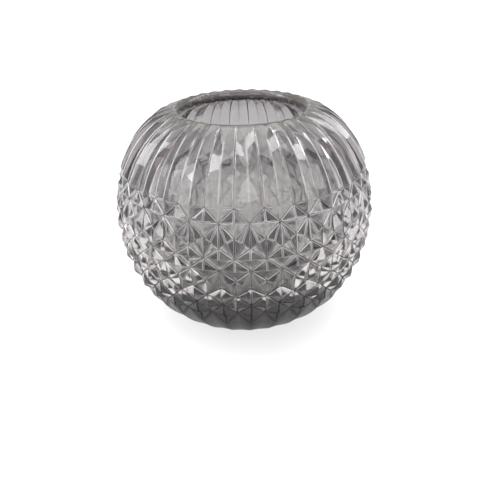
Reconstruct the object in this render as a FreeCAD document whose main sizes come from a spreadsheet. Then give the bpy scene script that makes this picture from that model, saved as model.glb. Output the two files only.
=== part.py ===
import FreeCAD, Part
import Sketcher
import math
import os
from FreeCAD import Vector

# Rose bowl vase: one thick piece of mould-pressed glass, cut all over in a
# diamond and flute pattern, standing on small clear bumper pads.
# Millimetres. +Z is up, and the origin is under the middle of the bowl, on
# the surface that the pads stand on. The front ridge faces -Y.

# Driving sizes: name, value or formula, what it sets. Angles are in degrees.
SIZES = (
    ("body_diameter", 170.0, "widest part of the bowl, over the crests of the cut"),
    ("foot_latitude", 64.16, "how far below its middle the foot cuts the body off"),
    ("body_rise", "=body_diameter / 2 * sin(foot_latitude)", "body's middle above the foot"),
    ("shoulder_radius", 57.5, "arc that turns the body in towards the mouth"),
    ("shoulder_angle", 30.0, "latitude where the shoulder arc takes over"),
    ("swell", 1.0, "how far the lower half swells out past a true ball"),
    ("swell_end_angle", 60.0, "how far below the middle that swell reaches"),
    ("mouth_diameter", 78.2, "clear opening at the narrowest of the lip"),
    ("lip_radius", 3.75, "round of the fire-polished lip"),
    ("lip_slope", 21.0, "fall of the smooth band outside the lip"),
    ("wall_thickness", 6.5, "glass behind the deepest grooves"),
    ("base_thickness", 16.0, "glass under the floor of the bowl"),
    ("floor_corner_radius", 45.0, "inside round between wall and floor"),
    ("foot_diameter", 66.0, "flat that the bowl stands on"),
    ("foot_edge_angle", 12.0, "slope of the edge round the foot"),
    ("dish_diameter", 40.0, "hollow under the foot"),
    ("dish_depth", 1.5, "hollow under the foot"),
    ("dish_side_angle", 30.0, "slope of the side of that hollow"),
    ("repeat_count", 30, "flutes, and columns of diamonds, round the bowl"),
    ("cut_depth", 2.0, "groove floor below the crests"),
    ("cut_top_angle", 22.6, "latitude where the flutes meet the diamonds"),
    ("cut_bottom_angle", -28.1, "latitude where the diamonds end"),
    ("fan_crest_drop", 0.4, "crest of a fan cell below the diamonds' crests"),
    ("pad_count", 3, "bumper pads under the foot"),
    ("pad_diameter", 9.0, "bumper pad"),
    ("pad_height", 1.8, "bumper pad"),
    ("pad_edge", 0.6, "slope cut round the pad's lower edge"),
    ("pad_circle_diameter", 53.0, "circle through the pads' centres"),
    ("overrun", 6.0, "how far the pressed blank runs past what trims it"),
)

# Levels of the groove crossings, as shares of the way from the top latitude
# of the cut to the bottom one. The letter says which column a crossing is
# on: r under a flute's ridge, g under the groove between two flutes.
level_shares = {
    "g1": 0.0, "r1": 0.107, "g2": 0.219, "r3": 0.302, "g4": 0.389, "r5": 0.485,
    "g6": 0.578, "r7": 0.661, "g8": 0.742, "r9": 0.850, "g10": 0.955, "r11": 1.0,
    "r12": 1.10,
}

# Diamonds: the column of their tips, then top, side and bottom crossings.
DIAMONDS = (
    ("groove", "g1", "r1", "g2"),
    ("ridge", "r3", "g4", "r5"),
    ("groove", "g4", "r5", "g6"),
    ("ridge", "r7", "g8", "r9"),
    ("groove", "g8", "r9", "g10"),
    ("ridge", "r9", "g10", "r11"),
)

# Fan cells: leaning four-sided cells between a ridge column and a groove
# column, given by the two crossings on each.
FANS = (
    ("r1", "r3", "g2", "g4"),
    ("r5", "r7", "g6", "g8"),
)

# How fast the flutes get shallower as they narrow: a power of the radius.
TOP_FADE = 2.5
FOOT_FADE = 4.0

# The flutes' curves run on to this angle of the shoulder arc, inside the lip.
FLUTE_END_ANGLE = 80.0
CURVE_STEPS = 6

# Steps that the flutes under the diamonds bend in, down to the foot.
FOOT_STEPS = 5

# Short straight steps that the rounds of the inside and the lip are turned in.
FLOOR_STEPS = 6
WALL_STEPS = 6
SHOULDER_STEPS = 4
LIP_STEPS = 9


def add_sizes(doc):
    """The spreadsheet of driving sizes, one alias to a row."""
    sheet = doc.addObject("Spreadsheet::Sheet", "sizes")
    for row, (alias, value, note) in enumerate(SIZES, start=1):
        sheet.set(f"A{row}", note)
        sheet.set(f"B{row}", str(value))
        sheet.setAlias(f"B{row}", alias)
    doc.recompute()
    return sheet


class Form:
    """Sizes read back from the sheet, and the body's meridian worked out from them."""

    def __init__(self, sheet):
        for alias, _, _ in SIZES:
            setattr(self, alias, float(sheet.get(alias)))
        self.body_radius = self.body_diameter / 2
        self.centre_height = self.pad_height + self.body_rise
        self.groove_radius = self.body_radius - self.cut_depth
        self.columns = 2 * round(self.repeat_count)
        self.turn = 2 * math.pi / self.columns
        self.skin = self.cut_depth + self.wall_thickness
        reach = self.body_radius - self.shoulder_radius
        lean = math.radians(self.shoulder_angle)
        self.shoulder_x = reach * math.cos(lean)
        self.shoulder_z = reach * math.sin(lean)

    def latitude(self, level):
        """Latitude of a level of groove crossings, in radians."""
        span = self.cut_bottom_angle - self.cut_top_angle
        return math.radians(self.cut_top_angle + span * level_shares[level])

    def place(self, out, rise, column):
        """Point at a distance from the axis and a height over the body's centre."""
        angle = column * self.turn - math.pi / 2
        return Vector(out * math.cos(angle), out * math.sin(angle), self.centre_height + rise)

    def on_ball(self, latitude, column, radius):
        """Point on the round of the body, which swells a little below its middle."""
        low = min(max(-math.degrees(latitude) / self.swell_end_angle, 0.0), 1.0)
        full = radius + self.swell * math.sin(math.pi * low) ** 2
        return self.place(full * math.cos(latitude), full * math.sin(latitude), column)

    def ball_curve(self, latitude, column, power, start):
        """Point of a groove on the round of the body, shallower as it narrows."""
        out = self.body_radius * math.cos(latitude)
        full = self.body_radius * math.cos(start)
        depth = self.cut_depth * (out / full) ** power
        return self.on_ball(latitude, column, self.body_radius - depth)

    def shoulder_curve(self, angle, column, power, start):
        """Point of a groove on the shoulder arc, or of a ridge when power is None."""
        out = self.shoulder_x + self.shoulder_radius * math.cos(angle)
        depth = 0.0
        if power is not None:
            full = self.body_radius * math.cos(start)
            depth = self.cut_depth * (out / full) ** power
        radius = self.shoulder_radius - depth
        out = self.shoulder_x + radius * math.cos(angle)
        rise = self.shoulder_z + radius * math.sin(angle)
        return self.place(out, rise, column)


def triangle(first, second, third):
    return Part.Face(Part.makePolygon([first, second, third, first]))


def pyramid(corners, tip):
    """Four facets from the corners of a cell up to its tip."""
    ring = corners + corners[:1]
    return [triangle(one, two, tip) for one, two in zip(ring, ring[1:])]


def curve_through(points):
    curve = Part.BSplineCurve()
    curve.interpolate(points)
    return curve.toShape()


def arc_through(points):
    return Part.Arc(points[0], points[len(points) // 2], points[-1]).toShape()


def steps(start, end, count=CURVE_STEPS):
    return [start + (end - start) * step / count for step in range(count + 1)]


def diamond_facets(form, column):
    """The diamonds that have their tips in this column."""
    kind = "ridge" if column % 2 == 0 else "groove"
    facets = []
    for where, top, side, bottom in DIAMONDS:
        if where != kind:
            continue
        corners = [
            form.on_ball(form.latitude(top), column, form.groove_radius),
            form.on_ball(form.latitude(side), column + 1, form.groove_radius),
            form.on_ball(form.latitude(bottom), column, form.groove_radius),
            form.on_ball(form.latitude(side), column - 1, form.groove_radius),
        ]
        tip = form.on_ball(form.latitude(side), column, form.body_radius)
        facets += pyramid(corners, tip)
    return facets


def fan_facets(form, ridge, groove):
    """The leaning cells between a ridge column and the groove column beside it."""
    facets = []
    for ridge_top, ridge_low, groove_top, groove_low in FANS:
        levels = (ridge_top, ridge_low, groove_low, groove_top)
        columns = (ridge, ridge, groove, groove)
        corners = [
            form.on_ball(form.latitude(level), column, form.groove_radius)
            for level, column in zip(levels, columns)
        ]
        middle = sum(form.latitude(level) for level in levels) / len(levels)
        crest = form.body_radius - form.fan_crest_drop
        tip = form.on_ball(middle, (ridge + groove) / 2, crest)
        facets += pyramid(corners, tip)
    return facets


def flute_edges(form, column):
    """A column's two lines above the diamonds: round of the body, then shoulder."""
    start = form.latitude("g1")
    turn = math.radians(form.shoulder_angle)
    end = math.radians(FLUTE_END_ANGLE)
    if column % 2 == 0:
        low = [form.on_ball(angle, column, form.body_radius) for angle in steps(start, turn)]
        high = [form.shoulder_curve(angle, column, None, start) for angle in steps(turn, end)]
        return arc_through(low), arc_through(high)
    low = [form.ball_curve(angle, column, TOP_FADE, start) for angle in steps(start, turn)]
    high = [form.shoulder_curve(angle, column, TOP_FADE, start) for angle in steps(turn, end)]
    return curve_through(low), curve_through(high)


def foot_line(form, column):
    """Points of a column's line below the diamonds, down past the foot."""
    drop = form.body_rise + form.overrun / 2
    end = -math.asin(drop / form.body_radius)
    if column % 2 == 0:
        angles = steps(form.latitude("r12"), end, FOOT_STEPS)
        return [form.on_ball(angle, column, form.body_radius) for angle in angles]
    start = form.latitude("g10")
    angles = steps(start, end, FOOT_STEPS)
    return [form.ball_curve(angle, column, FOOT_FADE, start) for angle in angles]


def strip(left, right):
    """Facets between two lines of points, a pair to each step."""
    facets = []
    for step in range(len(left) - 1):
        facets.append(triangle(left[step], left[step + 1], right[step]))
        facets.append(triangle(left[step + 1], right[step + 1], right[step]))
    return facets


def hip_facets(form, column, sides, low, high):
    """Two facets that close a pillar's end, from its ridge down to a crossing."""
    tip = form.on_ball(form.latitude(high), column, form.body_radius)
    foot = form.on_ball(form.latitude(low), column, form.groove_radius)
    facets = []
    for side in (-1, 1):
        corner = form.on_ball(form.latitude(sides), column + side, form.groove_radius)
        facets.append(triangle(corner, foot, tip))
    return facets


def end_of(edge):
    return edge.valueAt(edge.LastParameter)


def pressed_blank(form):
    """The outside of the bowl as it leaves the mould, solid, and long at both ends."""
    count = form.columns
    flutes = [flute_edges(form, column) for column in range(count)]
    feet = [foot_line(form, column) for column in range(count)]
    rim = [end_of(high) for _, high in flutes]
    sole = [line[-1] for line in feet]
    top = Vector(0, 0, max(point.z for point in rim) + form.overrun)
    bottom = Vector(0, 0, min(point.z for point in sole) - form.overrun)
    facets = []
    for column in range(count):
        after = (column + 1) % count
        facets += diamond_facets(form, column)
        facets.append(Part.makeRuledSurface(flutes[column][0], flutes[after][0]))
        facets.append(Part.makeRuledSurface(flutes[column][1], flutes[after][1]))
        facets += strip(feet[column], feet[after])
        facets.append(triangle(rim[column], rim[after], top))
        facets.append(triangle(sole[column], sole[after], bottom))
        if column % 2 == 0:
            facets += hip_facets(form, column, "g1", "r1", "g1")
            facets += hip_facets(form, column, "g10", "r11", "r12")
            facets += fan_facets(form, column, column + 1)
            facets += fan_facets(form, column, column - 1)
    shell = Part.makeCompound(facets)
    shell.sewShape()
    solid = Part.Solid(shell.Shells[0] if shell.Shells else Part.Shell(facets))
    if solid.Volume < 0:
        solid.reverse()
    return solid


def plane_of(body, role):
    return next(item for item in body.Origin.OriginFeatures if item.Role == role)


def sketch_on(body, role, name):
    sketch = body.newObject("Sketcher::SketchObject", name)
    sketch.AttachmentSupport = [(plane_of(body, role), "")]
    sketch.MapMode = "FlatFace"
    return sketch


def bind(sketch, index, name, expression):
    """Names a dimension of a sketch and ties it to the sheet."""
    sketch.renameConstraint(index, name)
    sketch.setExpression(f"Constraints.{name}", expression)


def line_of(x_one, y_one, x_two, y_two):
    return Part.LineSegment(Vector(x_one, y_one, 0), Vector(x_two, y_two, 0))


def foot_outline(form):
    """Half section of the form that the foot and the hollow under it are cut to."""
    wide = form.body_radius + form.overrun
    top = form.centre_height + wide
    foot = form.foot_diameter / 2
    edge_end = form.pad_height + (wide - foot) * math.tan(math.radians(form.foot_edge_angle))
    dish = form.dish_diameter / 2
    dish_top = form.pad_height + form.dish_depth
    dish_flat = dish - form.dish_depth / math.tan(math.radians(form.dish_side_angle))
    return [
        line_of(wide, top, 0, top),
        line_of(wide, top, wide, edge_end),
        line_of(foot, form.pad_height, wide, edge_end),
        line_of(dish, form.pad_height, foot, form.pad_height),
        line_of(dish, form.pad_height, dish_flat, dish_top),
        line_of(dish_flat, dish_top, 0, dish_top),
        line_of(0, dish_top, 0, top),
    ]


def foot_rules():
    """What joins in the section, what is level or plumb, and the sizes tied to the sheet."""
    lid, side, edge, sole, dish, roof, axis = range(7)
    start, end = 1, 2
    origin, upright = -1, -2
    rule = Sketcher.Constraint
    fixed = [
        rule("Coincident", lid, start, side, start),
        rule("Coincident", side, end, edge, end),
        rule("Coincident", edge, start, sole, end),
        rule("Coincident", sole, start, dish, start),
        rule("Coincident", dish, end, roof, start),
        rule("Coincident", roof, end, axis, start),
        rule("Coincident", axis, end, lid, end),
        rule("Horizontal", lid),
        rule("Vertical", side),
        rule("Horizontal", sole),
        rule("Horizontal", roof),
        rule("PointOnObject", axis, start, upright),
        rule("PointOnObject", axis, end, upright),
    ]
    wide = "sizes.body_diameter / 2 + sizes.overrun"
    sized = [
        ("lid_height", ("DistanceY", origin, 1, lid, start), f"sizes.pad_height + sizes.body_rise + {wide}"),
        ("side_out", ("DistanceX", origin, 1, side, start), wide),
        ("edge_angle", ("Angle", edge), "sizes.foot_edge_angle * 1 deg"),
        ("foot_out", ("DistanceX", origin, 1, sole, end), "sizes.foot_diameter / 2"),
        ("foot_height", ("DistanceY", origin, 1, sole, end), "sizes.pad_height"),
        ("dish_out", ("DistanceX", origin, 1, sole, start), "sizes.dish_diameter / 2"),
        ("dish_angle", ("Angle", dish), "180 deg - sizes.dish_side_angle * 1 deg"),
        ("dish_height", ("DistanceY", origin, 1, roof, start), "sizes.pad_height + sizes.dish_depth"),
    ]
    return fixed, sized


def measure(sketch, kind):
    """Present value of a dimension, so that the solver starts from the drawn shape."""
    if kind[0] == "Angle":
        line = sketch.Geometry[kind[1]]
        run = line.EndPoint - line.StartPoint
        return math.atan2(run.y, run.x)
    point = sketch.getPoint(kind[3], kind[4])
    return point.x if kind[0] == "DistanceX" else point.y


def foot_form(doc, form):
    """The turned form that gives the bowl its foot, as a body of its own."""
    body = doc.addObject("PartDesign::Body", "foot_form")
    sketch = sketch_on(body, "XZ_Plane", "foot_section")
    sketch.addGeometry(foot_outline(form), False)
    fixed, sized = foot_rules()
    sketch.addConstraint(fixed)
    for name, kind, expression in sized:
        index = sketch.addConstraint(Sketcher.Constraint(*kind, measure(sketch, kind)))
        bind(sketch, index, name, expression)
    doc.recompute()
    turned = body.newObject("PartDesign::Revolution", "foot_turned")
    turned.Profile = sketch
    turned.ReferenceAxis = (sketch, ["V_Axis"])
    turned.Angle = 360
    body.Tip = turned
    doc.recompute()
    return body


def round_points(x, y, radius, start, end, count):
    """Points along a round of a section, from its start angle to its end angle."""
    angles = steps(start, end, count)
    return [Vector(x + radius * math.cos(angle), 0, y + radius * math.sin(angle)) for angle in angles]


def inside_outline(form):
    """Outline of what is open: the inside from the floor up, round the lip and over the band."""
    wall = form.body_radius - form.skin
    shoulder = form.shoulder_radius - form.skin
    shoulder_y = form.centre_height + form.shoulder_z
    floor = form.pad_height + form.base_thickness
    corner = form.floor_corner_radius
    corner_y = floor + corner
    drop = corner_y - form.centre_height
    corner_x = math.sqrt((wall - corner) ** 2 - drop ** 2)
    turn = math.atan2(drop, corner_x)
    lean = math.radians(form.shoulder_angle)
    lip_x = form.mouth_diameter / 2 + form.lip_radius
    across = lip_x - form.shoulder_x
    rise = math.sqrt((shoulder + form.lip_radius) ** 2 - across ** 2)
    lip_y = shoulder_y + rise
    under = math.atan2(rise, across)
    slope = math.radians(form.lip_slope)
    wide = form.body_radius + form.overrun
    points = [Vector(0, 0, floor)]
    points += round_points(corner_x, corner_y, corner, -math.pi / 2, turn, FLOOR_STEPS)
    points += round_points(0, form.centre_height, wall, turn, lean, WALL_STEPS)[1:]
    points += round_points(form.shoulder_x, shoulder_y, shoulder, lean, under, SHOULDER_STEPS)[1:]
    points += round_points(lip_x, lip_y, form.lip_radius, math.pi + under, math.pi / 2 - slope, LIP_STEPS)[1:]
    last = points[-1]
    band_end = last.z - (wide - last.x) * math.tan(slope)
    top = form.centre_height + wide + form.overrun
    points += [Vector(wide, 0, band_end), Vector(wide, 0, top), Vector(0, 0, top)]
    return Part.makePolygon(points + points[:1])


def glass_bowl(doc, form):
    """The bowl: the pressed blank cut to its foot, then opened inside and over the lip."""
    blank = doc.addObject("Part::Feature", "pressed_blank")
    blank.Shape = pressed_blank(form)
    blank.Placement = FreeCAD.Placement()
    footed = doc.addObject("Part::Common", "footed_blank")
    footed.Base = blank
    footed.Tool = foot_form(doc, form)
    outline = doc.addObject("Part::Feature", "inside_outline")
    outline.Shape = inside_outline(form)
    outline.Placement = FreeCAD.Placement()
    inside = doc.addObject("Part::Revolution", "inside")
    inside.Source = outline
    inside.Axis = Vector(0, 0, 1)
    inside.Angle = 360
    inside.Solid = True
    bowl = doc.addObject("Part::Cut", "glass_bowl")
    bowl.Base = footed
    bowl.Tool = inside
    bowl.Label = "glass_bowl"
    doc.recompute()
    return bowl


def foot_pad(doc, number):
    """A clear bumper pad: a small round button with its lower edge taken off."""
    body = doc.addObject("PartDesign::Body", f"foot_pad_{number}")
    body.Label = f"foot_pad_{number}"
    sketch = sketch_on(body, "XY_Plane", f"pad_outline_{number}")
    circle = Part.Circle(Vector(0, 0, 0), Vector(0, 0, 1), 1)
    sketch.addGeometry(circle, False)
    sketch.addConstraint(Sketcher.Constraint("Coincident", 0, 3, -1, 1))
    index = sketch.addConstraint(Sketcher.Constraint("Radius", 0, circle.Radius))
    bind(sketch, index, "pad_radius", "sizes.pad_diameter / 2")
    doc.recompute()
    pad = body.newObject("PartDesign::Pad", f"pad_button_{number}")
    pad.Profile = sketch
    pad.setExpression("Length", "sizes.pad_height")
    doc.recompute()
    lower = [
        f"Edge{index}"
        for index, edge in enumerate(pad.Shape.Edges, start=1)
        if abs(edge.BoundBox.ZMax) < edge.Length / 100
    ]
    slope = body.newObject("PartDesign::Chamfer", f"pad_slope_{number}")
    slope.Base = (pad, lower)
    slope.setExpression("Size", "sizes.pad_edge")
    body.Tip = slope
    angle = f"(360 deg * {number - 1} / sizes.pad_count - 90 deg)"
    body.setExpression("Placement.Base.x", f"sizes.pad_circle_diameter / 2 * cos{angle}")
    body.setExpression("Placement.Base.y", f"sizes.pad_circle_diameter / 2 * sin{angle}")
    doc.recompute()
    return body


def check(doc, pieces):
    """Stops if a feature failed, or if a piece is empty, broken or in several bits."""
    for item in doc.Objects:
        faults = [word for word in item.State if word in ("Invalid", "Error")]
        if faults:
            raise RuntimeError(f"{item.Name} is {faults}")
    for piece in pieces:
        shape = piece.Shape
        if shape.isNull() or not shape.isValid():
            raise RuntimeError(f"{piece.Label} has no valid shape")
        if len(shape.Solids) != 1:
            raise RuntimeError(f"{piece.Label} has {len(shape.Solids)} solids")


doc = FreeCAD.newDocument("rose_bowl_vase")
sheet = add_sizes(doc)
form = Form(sheet)
pieces = [glass_bowl(doc, form)]
pieces += [foot_pad(doc, number) for number in range(1, round(form.pad_count) + 1)]
check(doc, pieces)
os.makedirs("parts", exist_ok=True)
for piece in pieces:
    piece.Shape.exportStep(f"parts/{piece.Label}.step")
    print(piece.Label, "volume", round(piece.Shape.Volume), "mm3, height", round(piece.Shape.BoundBox.ZMax, 2))
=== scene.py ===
import bmesh
import bpy
import math
from mathutils import Matrix, Vector


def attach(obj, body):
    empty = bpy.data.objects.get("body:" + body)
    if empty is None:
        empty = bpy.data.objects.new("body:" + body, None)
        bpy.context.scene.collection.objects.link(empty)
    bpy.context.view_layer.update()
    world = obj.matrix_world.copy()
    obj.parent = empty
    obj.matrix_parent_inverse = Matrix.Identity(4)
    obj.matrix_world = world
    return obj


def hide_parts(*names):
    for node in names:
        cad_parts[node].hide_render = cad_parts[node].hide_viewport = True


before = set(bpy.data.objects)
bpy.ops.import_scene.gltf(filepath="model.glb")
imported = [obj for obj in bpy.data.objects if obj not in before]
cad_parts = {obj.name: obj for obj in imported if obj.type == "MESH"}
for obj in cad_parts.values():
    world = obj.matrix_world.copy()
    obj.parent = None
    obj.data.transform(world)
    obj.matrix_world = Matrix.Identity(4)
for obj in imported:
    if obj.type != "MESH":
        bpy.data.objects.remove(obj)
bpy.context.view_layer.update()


# The glass bowl. One piece of smoke-grey soda-lime glass, pressed in a mould: a round
# body cut in diamonds, flutes on the shoulder and under the diamonds, a thick base.
# The mouth was rounded in the fire afterwards, so the lip and the inside are smooth.
MM = 0.001
FLUTES = 30
BODY_CENTRE = 78.3 * MM
BODY_RADIUS = 85.0 * MM
SHOULDER_RADIUS = 57.5 * MM
SHOULDER_START = math.radians(30.0)
MOUTH_RADIUS = 39.1 * MM
LIP_RADIUS = 3.75 * MM
LIP_WAVE = 0.8 * MM
BAND_SLOPE = math.radians(21.0)
WALL_AND_CUT = 8.5 * MM
FLOOR_HEIGHT = 17.8 * MM
FLOOR_CORNER = 45.0 * MM
CUT_DEPTH = 2.0 * MM
CUT_TOP = math.radians(22.6)
CUT_BOTTOM = math.radians(-33.17)
FLUTE_FADE = 0.5
FOOT_FADE = 4.0
SWELL = 1.0 * MM
SWELL_END = math.radians(60.0)
FOOT_HEIGHT = 1.8 * MM
FOOT_RADIUS = 33.0 * MM
FOOT_EDGE_SLOPE = math.radians(12.0)
DISH_RADIUS = 20.0 * MM
DISH_DEPTH = 1.5 * MM
DISH_SLOPE = math.radians(30.0)
EDGE_ROUND = 0.45 * MM
HAIR = 0.1 * MM
HAIR_ANGLE = 0.001
MERGE = 0.005 * MM
KEY_STEP = 0.001 * MM
MIDDLE = Vector((0.0, 0.0, BODY_CENTRE))


def angle_of(vert):
    """The angle of a vertex round the bowl's axis."""
    return math.atan2(vert.co.y, vert.co.x)


def latitude_of(vert):
    """The angle of a vertex above or below the widest ring, seen from the body's middle."""
    return math.atan2(vert.co.z - BODY_CENTRE, math.hypot(vert.co.x, vert.co.y))


def on_ridge(vert):
    """Whether a vertex of the cut lies on a flute's ridge, not in the groove between two."""
    return round((angle_of(vert) + math.pi / 2) / (math.pi / FLUTES)) % 2 == 0


def in_the_cut(vert):
    """Whether a vertex lies on the diamonds' belt, between the flutes and the foot."""
    outside = (vert.co - MIDDLE).length > BODY_RADIUS - CUT_DEPTH - HAIR
    return outside and CUT_BOTTOM - HAIR_ANGLE < latitude_of(vert) < CUT_TOP + HAIR_ANGLE


def key(vert):
    """The place of a vertex in whole steps, by which it is found again after an inset."""
    return tuple(round(value / KEY_STEP) for value in vert.co)


def verts_of(edges):
    return {vert for edge in edges for vert in edge.verts}


def keys_of(verts):
    return {key(vert) for vert in verts}


def boundary(bm, above):
    """The open edge loop of the cut, at its upper or its lower side."""
    edges = [edge for edge in bm.edges if edge.is_boundary]
    return [edge for edge in edges if (latitude_of(edge.verts[0]) > 0) == above]


def place_at(vert, out, height):
    """Puts a vertex at a distance from the axis and at a height, and keeps its angle."""
    angle = angle_of(vert)
    vert.co = Vector((out * math.cos(angle), out * math.sin(angle), height))


def move_on(bm, loop, place):
    """Extrudes an edge loop and moves each new vertex to the place found for it."""
    made = bmesh.ops.extrude_edge_only(bm, edges=loop)["geom"]
    for vert in (item for item in made if isinstance(item, bmesh.types.BMVert)):
        place_at(vert, *place(vert))
    return [item for item in made if isinstance(item, bmesh.types.BMEdge)]


def shares(count):
    """The ends of a number of equal steps from 0 to 1."""
    return [(step + 1) / count for step in range(count)]


# The belt of diamonds comes from the CAD solid. The rest of the bowl is grown from the
# belt's two open edges, so the flutes start on the crossings of the diamonds.
bm = bmesh.new()
bm.from_mesh(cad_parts["glass_bowl"].data)
# A mask for the painted highlight and painted shade along the edge lines.
line_paint_mask = bm.verts.layers.float.new("edge_line")
# A mask for the lip's painted reflection.
lip_reflection_layer = bm.verts.layers.float.new("lip_reflection_mask")
bmesh.ops.remove_doubles(bm, verts=bm.verts, dist=MERGE)
off_belt = [face for face in bm.faces if not all(in_the_cut(vert) for vert in face.verts)]
bmesh.ops.delete(bm, geom=off_belt, context="FACES")
bmesh.ops.recalc_face_normals(bm, faces=bm.faces)
belt = list(bm.faces)
GROOVE_END = max(latitude_of(vert) for vert in verts_of(boundary(bm, False)))
line_keys = keys_of(bm.verts)
low_keys = keys_of(verts_of(boundary(bm, False)))

# The flutes run up the body, over the shoulder's arc, to the outside of the lip. The lip
# is a round that touches the band at the flutes' ends and the shoulder's inside.
FLUTE_STEPS = 12
CROSSING_TRIES = 8
SHOULDER_OUT = (BODY_RADIUS - SHOULDER_RADIUS) * math.cos(SHOULDER_START)
SHOULDER_UP = BODY_CENTRE + (BODY_RADIUS - SHOULDER_RADIUS) * math.sin(SHOULDER_START)
LIP_OUT = MOUTH_RADIUS + LIP_RADIUS
LIP_ACROSS = LIP_OUT - SHOULDER_OUT
LIP_REACH = SHOULDER_RADIUS - WALL_AND_CUT + LIP_RADIUS
LIP_UP = SHOULDER_UP + math.sqrt(LIP_REACH ** 2 - LIP_ACROSS ** 2)
BAND_NORMAL = math.pi / 2 - BAND_SLOPE


def flute_depth(out):
    """How deep a groove is at a distance from the axis: it gets shallower as it narrows."""
    return CUT_DEPTH * (out / (BODY_RADIUS * math.cos(CUT_TOP))) ** FLUTE_FADE


def band_crossing(ridge):
    """The angle on the shoulder's arc where a column of the flutes meets the smooth band."""
    across = LIP_OUT + LIP_RADIUS * math.cos(BAND_NORMAL) - SHOULDER_OUT
    up = LIP_UP + LIP_RADIUS * math.sin(BAND_NORMAL) - SHOULDER_UP
    reach = across * math.cos(BAND_NORMAL) + up * math.sin(BAND_NORMAL)
    out = LIP_OUT
    for _ in range(CROSSING_TRIES):
        radius = SHOULDER_RADIUS - (0.0 if ridge else flute_depth(out))
        angle = BAND_NORMAL - math.acos(min(reach / radius, 1.0))
        out = SHOULDER_OUT + radius * math.cos(angle)
    return angle


def flute_place(share):
    """Place of the flutes' columns at a share of the way from the diamonds to the band."""
    def place(vert):
        ridge = on_ridge(vert)
        angle = CUT_TOP + (band_crossing(ridge) - CUT_TOP) * share
        if angle < SHOULDER_START:
            radius = BODY_RADIUS
            radius -= 0.0 if ridge else flute_depth(BODY_RADIUS * math.cos(angle))
            return radius * math.cos(angle), BODY_CENTRE + radius * math.sin(angle)
        out = SHOULDER_OUT + SHOULDER_RADIUS * math.cos(angle)
        radius = SHOULDER_RADIUS - (0.0 if ridge else flute_depth(out))
        return SHOULDER_OUT + radius * math.cos(angle), SHOULDER_UP + radius * math.sin(angle)
    return place


loop = boundary(bm, True)
for share in shares(FLUTE_STEPS):
    loop = move_on(bm, loop, flute_place(share))
    line_keys |= keys_of(verts_of(loop))
top_keys = keys_of(verts_of(loop))

# Each flank of a flute is one panel of the mould, so it gets one border.
belt_faces = set(belt)
panels = [[] for _ in range(2 * FLUTES)]
for face in bm.faces:
    if face not in belt_faces:
        centre = face.calc_center_median()
        around = math.atan2(centre.y, centre.x) + math.pi / 2
        panels[int(around % (2 * math.pi) / (math.pi / FLUTES))].append(face)

# The lip and the inside. The flutes run out over the lip as a shallow wave. The lip gets a
# painted reflection of the overhead soft box, a milky grey, which fades where the inside
# starts.
LIP_CUTS = 3
LIP_STEPS = 20
LIP_WAVE_RUN = 1.0 / 3.0
INSIDE_SHOULDER_STEPS = 12
WALL_STEPS = 16
FLOOR_CORNER_STEPS = 14
RIDGE_END_REFLECTION = 1.2
REFLECTION_KEPT_STEPS = 10
REFLECTION_FADE_STEPS = 8


def round_place(out, up, radius, angle):
    """The same place for every vertex of a loop, on a round of the profile."""
    return lambda vert: (out + radius * math.cos(angle), up + radius * math.sin(angle))


def lip_place(turn, fade):
    """Place on the lip's round, with the flutes' wave at a share of its full depth."""
    def place(vert):
        around = (angle_of(vert) + math.pi / 2) * FLUTES
        radius = LIP_RADIUS - LIP_WAVE * fade * (0.5 - 0.5 * math.cos(around))
        return LIP_OUT + radius * math.cos(turn), LIP_UP + radius * math.sin(turn)
    return place


def inside_places():
    """The loops from the band over the lip, and down the inside to the floor."""
    shoulder = SHOULDER_RADIUS - WALL_AND_CUT
    wall = BODY_RADIUS - WALL_AND_CUT
    lip_end = math.acos(LIP_ACROSS / LIP_REACH)
    corner_up = FLOOR_HEIGHT + FLOOR_CORNER
    drop = corner_up - BODY_CENTRE
    corner_out = math.sqrt((wall - FLOOR_CORNER) ** 2 - drop ** 2)
    wall_end = math.atan2(drop, corner_out)
    places = []
    for share in shares(LIP_STEPS):
        turn = BAND_NORMAL + (math.pi + lip_end - BAND_NORMAL) * share
        places.append(lip_place(turn, max(1.0 - share / LIP_WAVE_RUN, 0.0)))
    rounds = (
        (SHOULDER_OUT, SHOULDER_UP, shoulder, lip_end, SHOULDER_START, INSIDE_SHOULDER_STEPS),
        (0.0, BODY_CENTRE, wall, SHOULDER_START, wall_end, WALL_STEPS),
        (corner_out, corner_up, FLOOR_CORNER, wall_end, -math.pi / 2, FLOOR_CORNER_STEPS),
    )
    for out, up, radius, start, end, count in rounds:
        for share in shares(count):
            places.append(round_place(out, up, radius, start + (end - start) * share))
    return places


# Painted highlight: the ridges' ends at the band get the most of the lip's painted reflection.
for vert in verts_of(loop):
    vert[lip_reflection_layer] = RIDGE_END_REFLECTION if on_ridge(vert) else 0.0
loop = move_on(bm, loop, round_place(LIP_OUT, LIP_UP, LIP_RADIUS, BAND_NORMAL))
bmesh.ops.subdivide_edges(bm, edges=loop, cuts=LIP_CUTS)
ring = boundary(bm, True)
tangent = lip_place(BAND_NORMAL, 1.0)
for vert in verts_of(ring):
    place_at(vert, *tangent(vert))
    vert[lip_reflection_layer] = 1.0
for step, place in enumerate(inside_places()):
    ring = move_on(bm, ring, place)
    for vert in verts_of(ring):
        vert[lip_reflection_layer] = min(max(1.0 - (step - REFLECTION_KEPT_STEPS) / REFLECTION_FADE_STEPS, 0.0), 1.0)
bmesh.ops.contextual_create(bm, geom=ring)

# The softer flutes under the diamonds fade out on the base, which swells a little. The
# foot is ground flat, with a sloped edge outside and a shallow dish in its middle.
FOOT_STEPS = 8
SOLE_DROP = FOOT_RADIUS * math.sin(FOOT_EDGE_SLOPE)
SOLE_DROP += (BODY_CENTRE - FOOT_HEIGHT) * math.cos(FOOT_EDGE_SLOPE)
FOOT_EDGE_LATITUDE = math.acos(SOLE_DROP / BODY_RADIUS) + FOOT_EDGE_SLOPE - math.pi / 2
DISH_FLAT = DISH_RADIUS - DISH_DEPTH / math.tan(DISH_SLOPE)


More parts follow.
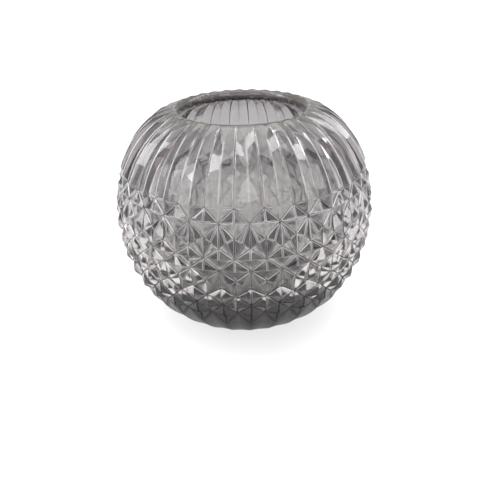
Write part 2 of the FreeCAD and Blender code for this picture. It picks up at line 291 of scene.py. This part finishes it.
def foot_place(share):
    """Place of the columns at a share of the way from the diamonds down to the foot's edge."""
    def place(vert):
        ridge = on_ridge(vert)
        start = CUT_BOTTOM if ridge else GROOVE_END
        angle = start + (FOOT_EDGE_LATITUDE - start) * share
        swell = SWELL * math.sin(math.pi * min(-angle / SWELL_END, 1.0)) ** 2
        narrowed = math.cos(angle) / math.cos(GROOVE_END)
        radius = BODY_RADIUS - (0.0 if ridge else CUT_DEPTH * narrowed ** FOOT_FADE) + swell
        out = radius * math.cos(angle)
        height = BODY_CENTRE + radius * math.sin(angle)
        return out, max(height, FOOT_HEIGHT + (out - FOOT_RADIUS) * math.tan(FOOT_EDGE_SLOPE))
    return place


loop = boundary(bm, False)
for share in shares(FOOT_STEPS):
    loop = move_on(bm, loop, foot_place(share))
creases = []
for out, rise in ((FOOT_RADIUS, 0.0), (DISH_RADIUS, 0.0), (DISH_FLAT, DISH_DEPTH)):
    creases += loop
    loop = move_on(bm, loop, lambda vert, out=out, rise=rise: (out, FOOT_HEIGHT + rise))
bmesh.ops.contextual_create(bm, geom=loop)
bmesh.ops.recalc_face_normals(bm, faces=bm.faces)

# The edges between facets are worn soft by the mould. Each facet gets a narrow border
# strip, and the shared line sinks: most in the grooves, least on the flutes' ridges.
LINE_BORDER = 0.7 * MM
GROOVE_LINE = 0.45 * MM
RIDGE_LINE = 0.1 * MM
FLUTE_RIDGE_LINE = 0.05 * MM
GROOVE_LINE_PAINT = 1.0
FLUTE_RIDGE_LINE_PAINT = 0.5
LOWEST_LINE_PAINT = 0.4
BELT_TOP = BODY_CENTRE + BODY_RADIUS * math.sin(CUT_TOP) + HAIR
bmesh.ops.inset_individual(
    bm, faces=belt, thickness=LINE_BORDER, depth=0.0, use_even_offset=True,
)
for panel in panels:
    bmesh.ops.inset_region(
        bm, faces=panel, thickness=LINE_BORDER, depth=0.0, use_boundary=True,
        use_even_offset=True,
    )
bm.normal_update()
lines = {vert for vert in bm.verts if key(vert) in line_keys}
for edge in bm.edges:
    if all(vert in lines for vert in edge.verts):
        edge.smooth = False
# Each line vertex gets its strength in the painted edge lines: painted highlight on their
# flanks, painted shade in their cores.
for vert in lines:
    if key(vert) in top_keys:
        vert[line_paint_mask] = 0.0
        continue
    if vert.co.z > BELT_TOP:
        vert[line_paint_mask] = FLUTE_RIDGE_LINE_PAINT if on_ridge(vert) else GROOVE_LINE_PAINT
        sink = FLUTE_RIDGE_LINE if on_ridge(vert) else GROOVE_LINE
    else:
        vert[line_paint_mask] = LOWEST_LINE_PAINT if key(vert) in low_keys else GROOVE_LINE_PAINT
        high = (vert.co - MIDDLE).length > BODY_RADIUS - CUT_DEPTH / 2
        sink = RIDGE_LINE if high else GROOVE_LINE
    vert.co -= vert.normal * sink
bmesh.ops.bevel(
    bm, geom=creases, offset=EDGE_ROUND, offset_type="OFFSET", segments=2, profile=0.5,
    affect="EDGES", clamp_overlap=True, material=-1,
)
bmesh.ops.recalc_face_normals(bm, faces=bm.faces)
mesh = bpy.data.meshes.new("pressed_glass_bowl")
bm.to_mesh(mesh)
bm.free()
for face in mesh.polygons:
    face.use_smooth = True
bowl = bpy.data.objects.new("pressed_glass_bowl", mesh)
bpy.context.scene.collection.objects.link(bowl)
weigh = bowl.modifiers.new("facet_normals", "WEIGHTED_NORMAL")
weigh.weight = 80
weigh.keep_sharp = True
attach(bowl, "root")
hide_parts("glass_bowl")


def linear(hex_colour):
    """A colour written as an sRGB hex value, turned linear for the shader."""
    parts = [int(hex_colour[place:place + 2], 16) / 255 for place in (0, 2, 4)]
    parts = [part / 12.92 if part <= 0.04045 else ((part + 0.055) / 1.055) ** 2.4
             for part in parts]
    return parts + [1.0]


def add_node(tree, kind, links=(), **settings):
    """Adds a node with its settings, and links outputs of others to its inputs."""
    node = tree.nodes.new(kind)
    for name, value in settings.items():
        if name in node.inputs:
            node.inputs[name].default_value = value
        else:
            setattr(node, name, value)
    for source, output, entry in links:
        tree.links.new(source.outputs[output], node.inputs[entry])
    return node


# Smoke-grey soda-lime glass, pressed and fire-polished. It is clear and glossy with the
# faint unevenness of a mould, greyer on the shoulder. Low on the body it is painted paler, a
# painted light, and the thick base is painted lilac-black, a painted shade.
GLASS_ROUGHNESS = 0.06
GLASS_IOR = 1.52
GREY_GLASS = "A7A7A7"
LOW_BODY_PAINTED_LIGHT = "D8D8D4"
GREY_FROM = 100.0 * MM
PAINTED_LIGHT_FULL = 55.0 * MM
smoke = bpy.data.materials.new("smoke_glass_fire_polished")
smoke.use_nodes = True
tree = smoke.node_tree
shader = tree.nodes["Principled BSDF"]
output = tree.nodes["Material Output"]
shader.inputs["Transmission Weight"].default_value = 1.0
shader.inputs["Roughness"].default_value = GLASS_ROUGHNESS
shader.inputs["IOR"].default_value = GLASS_IOR
own_place = add_node(tree, "ShaderNodeTexCoord")
height = add_node(tree, "ShaderNodeSeparateXYZ", links=((own_place, "Object", 0),))
# The mask of the painted edge lines, which the painted highlight and painted shade follow.
line_paint_weight = add_node(tree, "ShaderNodeAttribute", attribute_name="edge_line")
# Painted light: the glass is painted paler towards the bottom of the body, which lifts the low
# rows that look onto the shadowed floor.
low_body_light_mask = add_node(
    tree, "ShaderNodeMapRange", links=((height, "Z", "Value"),),
    **{"From Min": GREY_FROM, "From Max": PAINTED_LIGHT_FULL},
)
glass_tone_and_painted_light = add_node(
    tree, "ShaderNodeMix", links=((low_body_light_mask, "Result", "Factor"),), data_type="RGBA",
)
glass_tone_and_painted_light.inputs[6].default_value = linear(GREY_GLASS)
glass_tone_and_painted_light.inputs[7].default_value = linear(LOW_BODY_PAINTED_LIGHT)

# Painted shade: the middle of each edge line is painted a little darker than the facets.
LINE_CORE_SHADE = "807C7C"
LINE_SHADE_FROM = 0.65
LINE_SHADE_MOST = 0.1
line_shade_share = add_node(
    tree, "ShaderNodeMapRange", links=((line_paint_weight, "Fac", "Value"),),
    **{"From Min": LINE_SHADE_FROM, "From Max": 1.0, "To Min": 0.0, "To Max": LINE_SHADE_MOST},
)
tone_with_line_shade = add_node(
    tree, "ShaderNodeMix", links=((line_shade_share, "Result", "Factor"), (glass_tone_and_painted_light, 2, 6)),
    data_type="RGBA",
)
tone_with_line_shade.inputs[7].default_value = linear(LINE_CORE_SHADE)

# Painted shade: the outside of the thick base is painted lilac-black, standing in for the
# light that crosses the most glass there and the shadowed floor under the bowl.
BASE_PAINTED_SHADE = "34222A"
BASE_TOP = 36.0 * MM
BASE_FULL = 31.0 * MM
BASE_INNER = 36.0 * MM
BASE_OUTER = 42.0 * MM
base_low = add_node(
    tree, "ShaderNodeMapRange", links=((height, "Z", "Value"),),
    **{"From Min": BASE_TOP, "From Max": BASE_FULL},
)
across_only = add_node(
    tree, "ShaderNodeVectorMath", links=((own_place, "Object", 0),), operation="MULTIPLY",
)
across_only.inputs[1].default_value = (1.0, 1.0, 0.0)
off_axis = add_node(
    tree, "ShaderNodeVectorMath", links=((across_only, "Vector", 0),), operation="LENGTH",
)
base_outer = add_node(
    tree, "ShaderNodeMapRange", links=((off_axis, "Value", "Value"),),
    **{"From Min": BASE_INNER, "From Max": BASE_OUTER},
)
base_shade_mask = add_node(
    tree, "ShaderNodeMath", links=((base_low, "Result", 0), (base_outer, "Result", 1)),
    operation="MULTIPLY",
)
tone = add_node(
    tree, "ShaderNodeMix", links=((base_shade_mask, 0, "Factor"), (tone_with_line_shade, 2, 6)),
    data_type="RGBA",
)
tone.inputs[7].default_value = linear(BASE_PAINTED_SHADE)
tree.links.new(tone.outputs[2], shader.inputs["Base Color"])

# Painted highlight: each edge line is painted with a fine light line along both its flanks,
# standing in for the soft boxes' glint. It shows where the facet faces up, at the sides of
# the bowl and on the flutes, and in patches.
HIGHLIGHT_WHITE = "F0F0F0"
HIGHLIGHT_MOST = 0.5
LINE_PEAK = 0.4
LINE_END = 0.75
PATCH_SCALE = 60.0
PATCH_LEAST = 0.55
LINE_IN_FRONT = 0.4
LINE_AT_SIDE = 1.35
FLUTES_FROM = 112.5 * MM
BELT_FROM = 109.0 * MM
LOW_ROWS_FROM = 60.0 * MM
LOW_ROWS_FULL = 42.0 * MM
LOW_ROWS_DARK = 0.9
line_rise = add_node(
    tree, "ShaderNodeMapRange", links=((line_paint_weight, "Fac", "Value"),),
    **{"From Min": 0.0, "From Max": LINE_PEAK},
)
line_fall = add_node(
    tree, "ShaderNodeMapRange", links=((line_paint_weight, "Fac", "Value"),),
    **{"From Min": LINE_PEAK, "From Max": LINE_END, "To Min": 1.0, "To Max": 0.0},
)
flank = add_node(
    tree, "ShaderNodeMath", links=((line_rise, "Result", 0), (line_fall, "Result", 1)),
    operation="MULTIPLY",
)
surface = add_node(tree, "ShaderNodeNewGeometry")
lean = add_node(tree, "ShaderNodeSeparateXYZ", links=((surface, "True Normal", 0),))
faces_up = add_node(
    tree, "ShaderNodeMapRange", links=((lean, "Z", "Value"),),
    **{"From Min": -0.25, "From Max": 0.35, "To Min": 0.0, "To Max": HIGHLIGHT_MOST},
)
patches = add_node(
    tree, "ShaderNodeTexNoise", links=((own_place, "Object", "Vector"),),
    Scale=PATCH_SCALE, Detail=2.0,
)
patchy = add_node(
    tree, "ShaderNodeMapRange", links=((patches, "Fac", "Value"),),
    **{"From Min": 0.35, "From Max": 0.65, "To Min": PATCH_LEAST, "To Max": 1.0},
)
lit_face = add_node(
    tree, "ShaderNodeMath", links=((faces_up, "Result", 0), (patchy, "Result", 1)),
    operation="MULTIPLY",
)
glance = add_node(tree, "ShaderNodeLayerWeight", Blend=0.5)
at_side = add_node(
    tree, "ShaderNodeMapRange", links=((glance, "Facing", "Value"),),
    **{"From Min": 0.25, "From Max": 0.6, "To Min": LINE_IN_FRONT, "To Max": LINE_AT_SIDE},
)
in_belt = add_node(
    tree, "ShaderNodeMapRange", links=((height, "Z", "Value"),),
    **{"From Min": FLUTES_FROM, "From Max": BELT_FROM, "To Min": 0.0, "To Max": 1.0},
)
line_strength = add_node(
    tree, "ShaderNodeMath", links=((at_side, "Result", 0), (in_belt, "Result", 1)),
    operation="MAXIMUM",
)
line = add_node(
    tree, "ShaderNodeMath", links=((flank, 0, 0), (line_strength, 0, 1)),
    operation="MULTIPLY",
)
lit_line = add_node(
    tree, "ShaderNodeMath", links=((line, 0, 0), (lit_face, 0, 1)), operation="MULTIPLY",
)
low_row = add_node(
    tree, "ShaderNodeMapRange", links=((height, "Z", "Value"),),
    **{"From Min": LOW_ROWS_FROM, "From Max": LOW_ROWS_FULL,
       "To Min": 0.0, "To Max": LOW_ROWS_DARK},
)
upper_row = add_node(
    tree, "ShaderNodeMath", links=((low_row, "Result", 1),), operation="SUBTRACT",
)
upper_row.inputs[0].default_value = 1.0
painted_highlight_share = add_node(
    tree, "ShaderNodeMath", links=((lit_line, 0, 0), (upper_row, 0, 1)),
    operation="MULTIPLY",
)
painted_highlight = add_node(tree, "ShaderNodeBsdfDiffuse", Color=linear(HIGHLIGHT_WHITE))
painted_highlight_mixed = add_node(
    tree, "ShaderNodeMixShader",
    links=((painted_highlight_share, 0, 0), (shader, 0, 1), (painted_highlight, 0, 2)),
)

# Painted shade: in the low rows, under steep facets and at grazing angles, the same edge
# lines are painted dark, where the edges turn the light away.
LINE_DARK = "1E1A1C"
DARK_LINE = 0.95
GRAZING_DARK = 0.9
faces_down = add_node(
    tree, "ShaderNodeMapRange", links=((lean, "Z", "Value"),),
    **{"From Min": -0.42, "From Max": -0.7, "To Min": 0.0, "To Max": DARK_LINE},
)
turned_away = add_node(
    tree, "ShaderNodeMath", links=((low_row, "Result", 0), (faces_down, "Result", 1)),
    operation="MAXIMUM",
)
whole_line = add_node(
    tree, "ShaderNodeMapRange", links=((line_paint_weight, "Fac", "Value"),),
    **{"From Min": 0.1, "From Max": 0.6, "To Min": 0.0, "To Max": 1.0},
)
low_dark = add_node(
    tree, "ShaderNodeMath", links=((whole_line, "Result", 0), (turned_away, 0, 1)),
    operation="MULTIPLY",
)
line_core = add_node(
    tree, "ShaderNodeMapRange", links=((line_paint_weight, "Fac", "Value"),),
    **{"From Min": 0.55, "From Max": 0.85},
)
grazing = add_node(
    tree, "ShaderNodeMapRange", links=((glance, "Facing", "Value"),),
    **{"From Min": 0.6, "From Max": 0.85, "To Min": 0.0, "To Max": GRAZING_DARK},
)
core_dark = add_node(
    tree, "ShaderNodeMath", links=((line_core, "Result", 0), (grazing, "Result", 1)),
    operation="MULTIPLY",
)
dark_share = add_node(
    tree, "ShaderNodeMath", links=((low_dark, 0, 0), (core_dark, 0, 1)),
    operation="MAXIMUM",
)
dark = add_node(tree, "ShaderNodeBsdfDiffuse", Color=linear(LINE_DARK))
dark_lined = add_node(
    tree, "ShaderNodeMixShader",
    links=((dark_share, 0, 0), (painted_highlight_mixed, 0, 1), (dark, 0, 2)),
)

# Painted reflection: the fire-polished lip is painted a little milky grey, standing in for
# the overhead soft box's reflection.
LIP_REFLECTION_GREY = "6E6C68"
LIP_REFLECTION_MOST = 0.32
lip_reflection_weight = add_node(tree, "ShaderNodeAttribute", attribute_name="lip_reflection_mask")
lip_reflection_share = add_node(
    tree, "ShaderNodeMath", links=((lip_reflection_weight, "Fac", 0),), operation="MULTIPLY",
)
lip_reflection_share.inputs[1].default_value = LIP_REFLECTION_MOST
lip_reflection_paint = add_node(tree, "ShaderNodeBsdfDiffuse", Color=linear(LIP_REFLECTION_GREY))
lip_reflection_mixed = add_node(
    tree, "ShaderNodeMixShader", links=((lip_reflection_share, 0, 0), (dark_lined, 0, 1), (lip_reflection_paint, 0, 2)),
)
tree.links.new(lip_reflection_mixed.outputs[0], output.inputs["Surface"])

# Smoke in the glass itself: the thicker the glass, the darker and the more lilac it looks.
SMOKE_DENSITY = 14.0
SMOKE_COLOUR = (0.22, 0.0, 0.1, 1.0)
depth = add_node(
    tree, "ShaderNodeVolumeAbsorption", Color=SMOKE_COLOUR, Density=SMOKE_DENSITY,
)
tree.links.new(depth.outputs[0], output.inputs["Volume"])
mesh.materials.append(smoke)


# Bumper pads. Three small clear buttons of soft polyurethane, cast in a flat mould,
# with a chamfered lower edge. Each is stuck under the foot by its own adhesive and
# keeps the glass off the table.
DUST_SCALE = 900.0
PAD_IOR = 1.49
PAD_CLEARNESS = 0.6
pad_plastic = bpy.data.materials.new("clear_polyurethane_cast")
pad_plastic.use_nodes = True
tree = pad_plastic.node_tree
shader = tree.nodes["Principled BSDF"]
# Cast polyurethane is see-through with a soft shine. Dust that clings to it, in specks
# of about a millimetre, makes it a little cloudy and dull in places.
pad_place = add_node(tree, "ShaderNodeTexCoord")
dust = add_node(
    tree, "ShaderNodeTexNoise", links=((pad_place, "Object", "Vector"),),
    Scale=DUST_SCALE, Detail=3.0,
)
dusty = add_node(tree, "ShaderNodeMix", links=((dust, "Fac", "Factor"),), data_type="RGBA")
dusty.inputs[6].default_value = linear("E0E0DD")
dusty.inputs[7].default_value = linear("CDCCC6")
tree.links.new(dusty.outputs[2], shader.inputs["Base Color"])
dull = add_node(
    tree, "ShaderNodeMapRange", links=((dust, "Fac", "Value"),),
    **{"From Min": 0.35, "From Max": 0.65, "To Min": 0.28, "To Max": 0.42},
)
tree.links.new(dull.outputs["Result"], shader.inputs["Roughness"])
shader.inputs["Transmission Weight"].default_value = PAD_CLEARNESS
shader.inputs["IOR"].default_value = PAD_IOR
for number in (1, 2, 3):
    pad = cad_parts[f"foot_pad_{number}"]
    pad.data.materials.clear()
    pad.data.materials.append(pad_plastic)


# The studio: a large floor painted a plain pale grey, and plain white air all round. The
# camera and the glass see the floor and the air as white. Round the bowl's foot the floor has
# a painted shadow, which the glass sees darker still.
FLOOR_SIZE = 15.0
FLOOR_GREY = "868686"
SHADOW_EDGE = 45.0 * MM
SHADOW_END = 130.0 * MM
SHADOW_SEEN = 0.68
SHADOW_THROUGH_GLASS = 0.14
AIR_STRENGTH = 0.65
WHITE = (1.0, 1.0, 1.0, 1.0)
bm = bmesh.new()
bmesh.ops.create_grid(bm, x_segments=1, y_segments=1, size=FLOOR_SIZE)
floor_mesh = bpy.data.meshes.new("studio_floor")
bm.to_mesh(floor_mesh)
bm.free()
floor = bpy.data.objects.new("studio_floor", floor_mesh)
bpy.context.scene.collection.objects.link(floor)
# Matt floor paint: no shine, so nothing but the soft shadow shows on it, cast by the lamps
# and deepened by the painted shadow round the foot.
paint = bpy.data.materials.new("white_floor_paint")
paint.use_nodes = True
tree = paint.node_tree
shader = tree.nodes["Principled BSDF"]
shader.inputs["Base Color"].default_value = linear(FLOOR_GREY)
shader.inputs["Roughness"].default_value = 0.9
shader.inputs["Specular IOR Level"].default_value = 0.0
shader.inputs["Emission Color"].default_value = WHITE
path = add_node(tree, "ShaderNodeLightPath")
by_glass = add_node(
    tree, "ShaderNodeMath", operation="MAXIMUM",
    links=((path, "Is Transmission Ray", 0), (path, "Is Glossy Ray", 1)),
)
floor_place = add_node(tree, "ShaderNodeTexCoord")
away = add_node(
    tree, "ShaderNodeVectorMath", links=((floor_place, "Object", 0),), operation="LENGTH",
)
# Painted shadow: the floor's white glow is turned down round the foot, for the camera and more
# for the glass.
seen_glow_painted_shadow = add_node(
    tree, "ShaderNodeMapRange", links=((away, "Value", "Value"),),
    interpolation_type="SMOOTHSTEP",
    **{"From Min": SHADOW_EDGE, "From Max": SHADOW_END, "To Min": SHADOW_SEEN, "To Max": 1.0},
)
glass_glow_painted_shadow = add_node(
    tree, "ShaderNodeMapRange", links=((away, "Value", "Value"),),
    interpolation_type="SMOOTHSTEP",
    **{"From Min": SHADOW_EDGE, "From Max": SHADOW_END,
       "To Min": SHADOW_THROUGH_GLASS, "To Max": 1.0},
)
to_camera = add_node(
    tree, "ShaderNodeMath", operation="MULTIPLY",
    links=((path, "Is Camera Ray", 0), (seen_glow_painted_shadow, "Result", 1)),
)
white_floor = add_node(
    tree, "ShaderNodeMath", operation="MULTIPLY_ADD",
    links=((by_glass, 0, 0), (glass_glow_painted_shadow, "Result", 1), (to_camera, 0, 2)),
)
tree.links.new(white_floor.outputs[0], shader.inputs["Emission Strength"])
floor_mesh.materials.append(paint)

world = bpy.data.worlds.new("studio_air")
bpy.context.scene.world = world
world.use_nodes = True
tree = world.node_tree
air = tree.nodes["Background"]
air.inputs["Color"].default_value = WHITE
air.inputs["Strength"].default_value = AIR_STRENGTH
backdrop = add_node(tree, "ShaderNodeBackground", Strength=1.0)
path = add_node(tree, "ShaderNodeLightPath")
mixed = add_node(
    tree, "ShaderNodeMixShader",
    links=((path, "Is Camera Ray", 0), (air, 0, 1), (backdrop, 0, 2)),
)
tree.links.new(mixed.outputs[0], tree.nodes["World Output"].inputs["Surface"])


# The lamps: one large soft box overhead, a wide panel in front, one at each side, and
# four small soft boxes, which draw the bright patches in the flutes.
def soft_lamp(name, azimuth, elevation, distance, width, height, power):
    """A soft box that faces the bowl from an azimuth and an elevation."""
    light = bpy.data.lights.new(name, "AREA")
    light.shape = "RECTANGLE"
    light.size = width
    light.size_y = height
    light.energy = power
    lamp = bpy.data.objects.new(name, light)
    bpy.context.scene.collection.objects.link(lamp)
    turn = math.radians(azimuth)
    lift = math.radians(elevation)
    flat = math.cos(lift)
    toward = Vector((math.sin(turn) * flat, -math.cos(turn) * flat, math.sin(lift)))
    lamp.location = MIDDLE + toward * distance
    lamp.rotation_euler = toward.to_track_quat("Z", "Y").to_euler()


soft_lamp("top_soft_box", 180.0, 82.0, 1.0, 1.3, 1.1, 14.0)
soft_lamp("left_soft_box", -87.0, 44.0, 1.0, 0.25, 0.7, 4.0)
soft_lamp("right_soft_box", 114.0, 44.0, 1.0, 0.25, 0.7, 3.2)
soft_lamp("left_panel", -78.0, 25.0, 1.2, 1.0, 1.0, 7.0)
soft_lamp("right_panel", 78.0, 25.0, 1.2, 1.0, 1.0, 4.0)
soft_lamp("front_panel", 0.0, 32.0, 1.5, 2.6, 1.6, 18.0)
soft_lamp("front_left_soft_box", -30.0, 33.0, 1.3, 0.4, 0.55, 2.0)
soft_lamp("front_right_soft_box", 33.5, 33.0, 1.3, 0.4, 0.55, 2.0)


# The camera, where the photograph was taken from: a little above, and tilted a little.
# Its focal length is the one at which the bowl's outline fits the photograph's.
PITCH = 0.5043
ROLL = 0.0279
CAMERA_TURN = math.radians(-1.8)
CAMERA_FROM_MIDDLE = Vector((-0.0003, -0.3327, 0.1513))
SENSOR = 36.0
IMAGE_WIDTH = 490.0
FOCAL_IN_PIXELS = 537.0
camera_data = bpy.data.cameras.new("camera")
camera = bpy.data.objects.new("camera", camera_data)
bpy.context.scene.collection.objects.link(camera)
bpy.context.scene.camera = camera
camera_data.sensor_width = SENSOR
camera_data.lens = FOCAL_IN_PIXELS / IMAGE_WIDTH * SENSOR
camera_data.clip_start = 0.01
forward = Vector((0.0, math.cos(PITCH), -math.sin(PITCH)))
upward = Vector((0.0, math.sin(PITCH), math.cos(PITCH)))
across = Vector((1.0, 0.0, 0.0))
right = across * math.cos(ROLL) - upward * math.sin(ROLL)
top = across * math.sin(ROLL) + upward * math.cos(ROLL)
stand = Matrix((right, top, -forward)).transposed().to_4x4()
stand.translation = CAMERA_FROM_MIDDLE + MIDDLE
camera.matrix_world = Matrix.Rotation(CAMERA_TURN, 4, "Z") @ stand

bpy.context.scene.view_settings.view_transform = "Standard"
